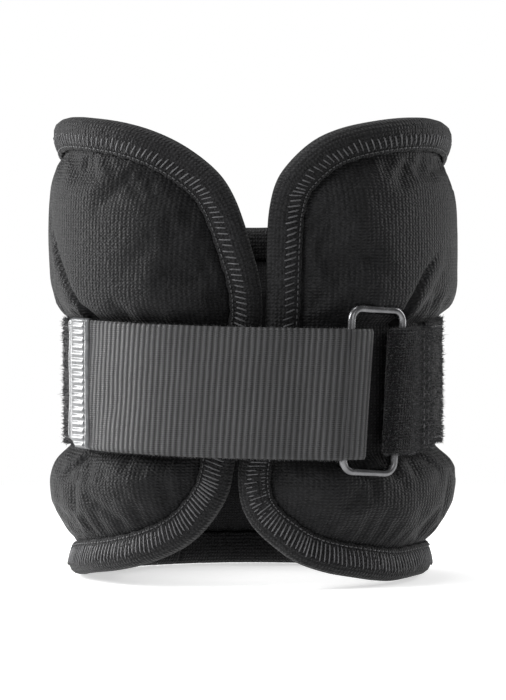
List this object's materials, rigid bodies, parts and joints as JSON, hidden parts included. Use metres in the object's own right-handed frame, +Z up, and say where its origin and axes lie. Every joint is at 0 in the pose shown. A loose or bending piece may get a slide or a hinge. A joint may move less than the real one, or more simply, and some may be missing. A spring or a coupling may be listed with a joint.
{
  "type": "ankle cuff weight",
  "caption": "Soft weighted ankle cuff with padded wings, bound edges, metal ring and elastic hook-and-loop strap, closed round an open ankle passage.",
  "frame": {"origin": "centre of the ankle opening on the plane the cuff stands on", "axes": "+Z up the leg along the ankle opening, -Y towards the front where the two wings meet, +X towards the side with the ring"},
  "size_m": [0.1209, 0.119, 0.1371],
  "materials": {
    "neoprene": "matte",
    "lining_knit": "matte",
    "binding_knit": "matte",
    "thread_black": "satin",
    "loop_pile": "matte",
    "elastic_webbing": "satin",
    "hook_plastic": "matte",
    "tab_film": "gloss",
    "ring_metal": "satin",
    "pouch_cloth": "matte",
    "steel_shot": "satin"
  },
  "bodies": {
    "rear_pad": {"rear_cover": "neoprene", "rear_lining": "lining_knit", "rear_shot_pouch": "pouch_cloth", "rear_steel_shot": "steel_shot", "rear_loop_tape": "loop_pile", "rear_loop_tape_stitching": "thread_black", "rear_binding_thread": "thread_black", "rear_binding_top": "binding_knit", "rear_binding_bottom": "binding_knit", "left_channel_stitching": "thread_black", "right_channel_stitching": "thread_black"},
    "left_wing": {"left_cover": "neoprene", "left_lining": "lining_knit", "left_shot_pouch": "pouch_cloth", "left_steel_shot": "steel_shot", "left_loop_tape": "loop_pile", "left_loop_tape_stitching": "thread_black", "left_binding_thread": "thread_black", "left_binding": "binding_knit"},
    "right_wing": {"right_cover": "neoprene", "right_lining": "lining_knit", "right_shot_pouch": "pouch_cloth", "right_steel_shot": "steel_shot", "right_loop_tape": "loop_pile", "right_loop_tape_stitching": "thread_black", "right_binding_thread": "thread_black", "right_binding": "binding_knit", "ring_keeper": "loop_pile", "keeper_stitching": "thread_black"},
    "ring_and_strap": {"ring": "ring_metal", "strap_lower_run": "elastic_webbing", "strap_fold": "elastic_webbing", "strap_root_stitching": "thread_black"},
    "strap_end": {"strap_tail": "elastic_webbing", "hook_patch": "hook_plastic", "strap_end_tab": "tab_film", "end_tab_stitching": "thread_black"}
  },
  "joints": [
    {"name": "left_wing_open", "type": "hinge", "parent": "rear_pad", "child": "left_wing", "pos_m": [-0.02697, 0.04597, 0.05], "axis": [0, 0, -1], "range_deg": [0, 35]},
    {"name": "right_wing_open", "type": "hinge", "parent": "rear_pad", "child": "right_wing", "pos_m": [0.02697, 0.04597, 0.05], "axis": [0, 0, 1], "range_deg": [0, 35]},
    {"name": "ring_swing", "type": "hinge", "parent": "right_wing", "child": "ring_and_strap", "pos_m": [0.04212, -0.04232, 0.058], "axis": [0, 0, 1], "range_deg": [0, 70]},
    {"name": "strap_peel", "type": "hinge", "parent": "ring_and_strap", "child": "strap_end", "pos_m": [0.02724, -0.05314, 0.058], "axis": [0, 0, 1], "range_deg": [0, 100], "deforming": ["strap_fold"]}
  ],
  "couplings": [
    {"joint": "right_wing_open", "follows": "left_wing_open", "ratio": 1},
    {"joint": "ring_swing", "follows": "left_wing_open", "ratio": 2}
  ]
}
